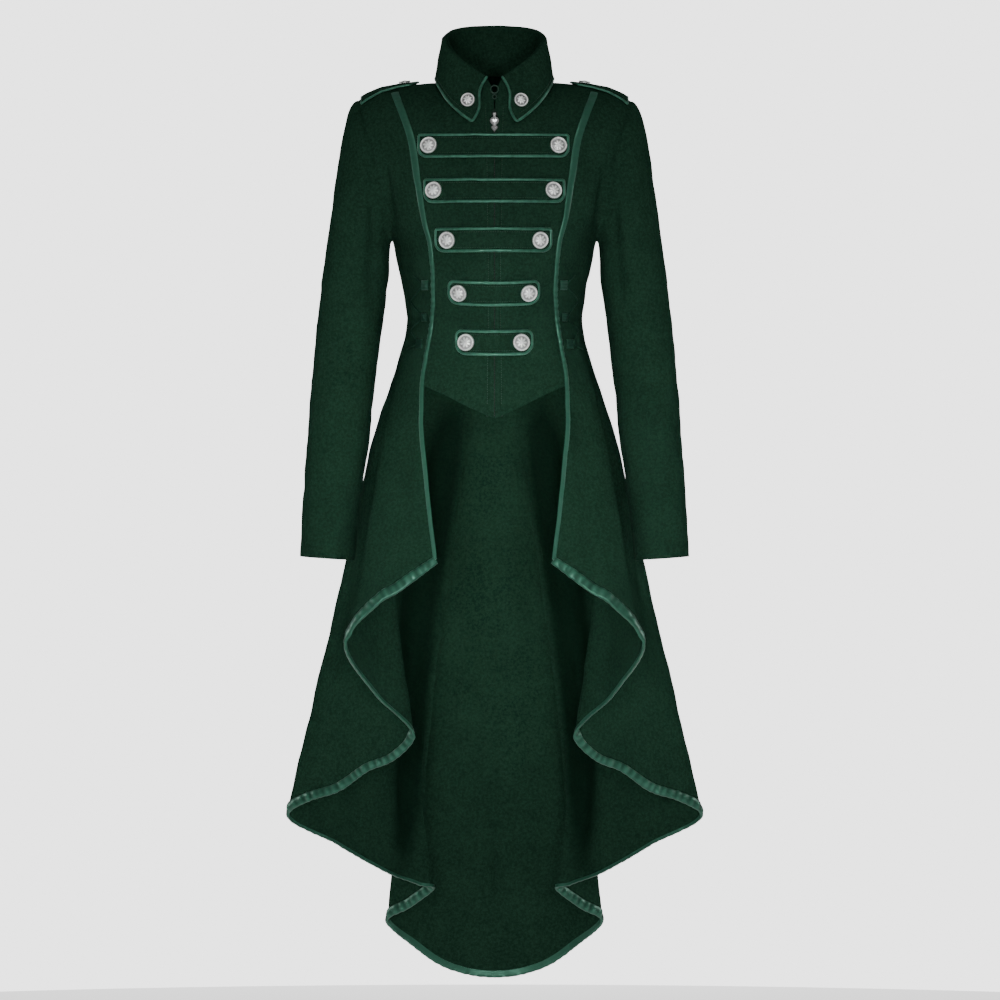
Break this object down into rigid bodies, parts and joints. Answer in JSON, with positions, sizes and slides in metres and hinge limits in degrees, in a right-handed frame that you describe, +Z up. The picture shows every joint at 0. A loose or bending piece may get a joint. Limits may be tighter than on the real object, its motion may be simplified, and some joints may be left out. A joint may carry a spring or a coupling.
{
  "type": "women's military-style swallowtail coat",
  "caption": "Hollow fitted coat with a standing turned-down collar, buttoned chest tabs, epaulettes, long sleeves and a skirt cut away in front into a long tail.",
  "frame": {"origin": "between the shoulders at the base of the neck, where the wearer holds the coat up", "axes": "+Z up, -Y towards the front, +X towards the wearer's left"},
  "size_m": [0.5642, 0.3852, 1.3051],
  "materials": {
    "outer_cloth": "dark green wool twill, matt with a soft nap",
    "satin_trim": "green satin, ruched on the bands, smooth on the piping",
    "lacing": "dark green cord and loops",
    "zip_tape": "dark green woven tape with teeth",
    "button_metal": "aged silver with a low relief",
    "pull_metal": "polished silver",
    "slider_metal": "dark, worn at the edges",
    "ring_metal": "green lacquer"
  },
  "bodies": {
    "coat": {"centre_front_left": "outer_cloth", "centre_front_right": "outer_cloth", "side_front_left": "outer_cloth", "side_front_right": "outer_cloth", "side_back_left": "outer_cloth", "side_back_right": "outer_cloth", "centre_back_left": "outer_cloth", "centre_back_right": "outer_cloth", "sleeve_left": "outer_cloth", "sleeve_right": "outer_cloth", "collar_stand": "outer_cloth", "collar_fall": "outer_cloth", "epaulette_left": "outer_cloth", "epaulette_right": "outer_cloth", "chest_tab_1": "outer_cloth", "chest_tab_2": "outer_cloth", "chest_tab_3": "outer_cloth", "chest_tab_4": "outer_cloth", "chest_tab_5": "outer_cloth", "collar_piping": "satin_trim", "chest_piping_1": "satin_trim", "chest_piping_2": "satin_trim", "chest_piping_3": "satin_trim", "chest_piping_4": "satin_trim", "chest_piping_5": "satin_trim", "front_band_left": "satin_trim", "front_band_right": "satin_trim", "hem_band_left": "satin_trim", "hem_band_right": "satin_trim", "epaulette_piping_left": "satin_trim", "epaulette_piping_right": "satin_trim", "side_lace_left": "lacing", "side_lace_right": "lacing", "side_loop_1_left": "lacing", "side_loop_1_right": "lacing", "side_loop_2_left": "lacing", "side_loop_2_right": "lacing", "side_loop_3_left": "lacing", "side_loop_3_right": "lacing", "zip": "zip_tape", "button_1_left": "button_metal", "button_1_right": "button_metal", "button_2_left": "button_metal", "button_2_right": "button_metal", "button_3_left": "button_metal", "button_3_right": "button_metal", "button_4_left": "button_metal", "button_4_right": "button_metal", "button_5_left": "button_metal", "button_5_right": "button_metal", "collar_button_left": "button_metal", "collar_button_right": "button_metal", "epaulette_button_left": "button_metal", "epaulette_button_right": "button_metal", "zip_slider": "slider_metal", "collar_ring_large": "ring_metal", "collar_ring_small": "ring_metal"},
    "pull": {"zip_pull": "pull_metal"}
  },
  "joints": [
    {"name": "pull_swing", "type": "hinge", "parent": "coat", "child": "pull", "pos_m": [0, -0.08316, -0.04727], "axis": [-1, 0, 0], "range_deg": [0, 140]}
  ]
}
